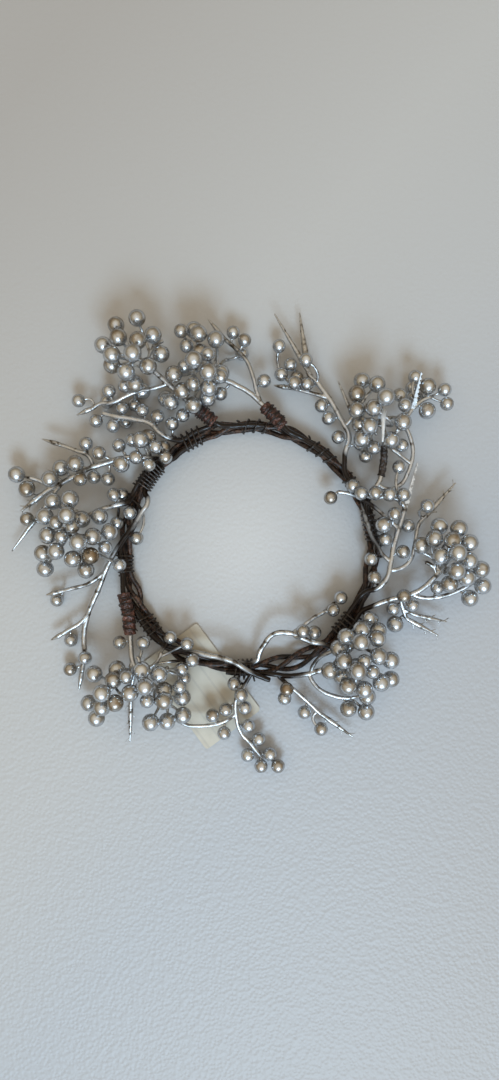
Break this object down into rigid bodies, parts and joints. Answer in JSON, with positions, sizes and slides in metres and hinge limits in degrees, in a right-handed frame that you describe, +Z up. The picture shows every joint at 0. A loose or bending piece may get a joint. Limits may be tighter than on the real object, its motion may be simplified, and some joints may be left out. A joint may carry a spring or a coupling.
{
  "type": "candle ring",
  "caption": "Small wreath of silver berry picks bound with brown wire to a ring of twisted vine strands, for laying round the foot of a pillar candle.",
  "frame": {"origin": "centre of the ring's opening, on the plane that the ring lies on", "axes": "+Z up, along the axis of the opening; +Y towards the top of the ring as it is seen from above"},
  "size_m": [0.2202, 0.2134, 0.0438],
  "materials": {
    "silver_berries": "silver metallic paint on moulded foam balls, softly pearled",
    "silver_stems": "silver metallic paint on moulded plastic stems over wire",
    "vine": "dark brown bark-wrapped vine strand",
    "binding_wire": "thin dark brown coated wire",
    "floral_tape": "reddish brown crepe floral tape, waxed",
    "tag_card": "plain cream card"
  },
  "bodies": {
    "root": {"bottom_binding_wire": "binding_wire", "bottom_left_binding_wire": "binding_wire", "bottom_left_foot_tape": "floral_tape", "bottom_left_large_berries": "silver_berries", "bottom_left_small_berries": "silver_berries", "bottom_left_spikes": "silver_stems", "bottom_left_stems": "silver_stems", "bottom_right_binding_wire": "binding_wire", "bottom_right_large_berries": "silver_berries", "bottom_right_small_berries": "silver_berries", "bottom_right_spikes": "silver_stems", "bottom_right_stems": "silver_stems", "bottom_small_berries": "silver_berries", "bottom_stems": "silver_stems", "left_binding_wire": "binding_wire", "left_dense_binding_wire": "binding_wire", "left_large_berries": "silver_berries", "left_small_berries": "silver_berries", "left_stems": "silver_stems", "left_twig_small_berries": "silver_berries", "left_twig_spikes": "silver_stems", "left_twig_stems": "silver_stems", "left_upper_binding_wire": "binding_wire", "left_upper_large_berries": "silver_berries", "left_upper_small_berries": "silver_berries", "left_upper_spikes": "silver_stems", "left_upper_stems": "silver_stems", "paper_tag": "tag_card", "right_binding_wire": "binding_wire", "right_inner_large_berries": "silver_berries", "right_inner_small_berries": "silver_berries", "right_inner_spikes": "silver_stems", "right_inner_stems": "silver_stems", "right_inner_toothed_leaf": "silver_stems", "right_large_berries": "silver_berries", "right_small_berries": "silver_berries", "right_spikes": "silver_stems", "right_stems": "silver_stems", "ring_strand_1": "vine", "ring_strand_2": "vine", "ring_strand_3": "vine", "top_binding_wire": "binding_wire", "top_foot_tape": "floral_tape", "top_large_berries": "silver_berries", "top_left_binding_wire": "binding_wire", "top_left_foot_tape": "floral_tape", "top_left_large_berries": "silver_berries", "top_left_small_berries": "silver_berries", "top_left_spikes": "silver_stems", "top_left_stems": "silver_stems", "top_right_binding_wire": "binding_wire", "top_right_large_berries": "silver_berries", "top_right_small_berries": "silver_berries", "top_right_spikes": "silver_stems", "top_right_stem_tape": "floral_tape", "top_right_stems": "silver_stems", "top_right_toothed_leaf": "silver_stems", "top_small_berries": "silver_berries", "top_spikes": "silver_stems", "top_stems": "silver_stems"}
  },
  "joints": []
}
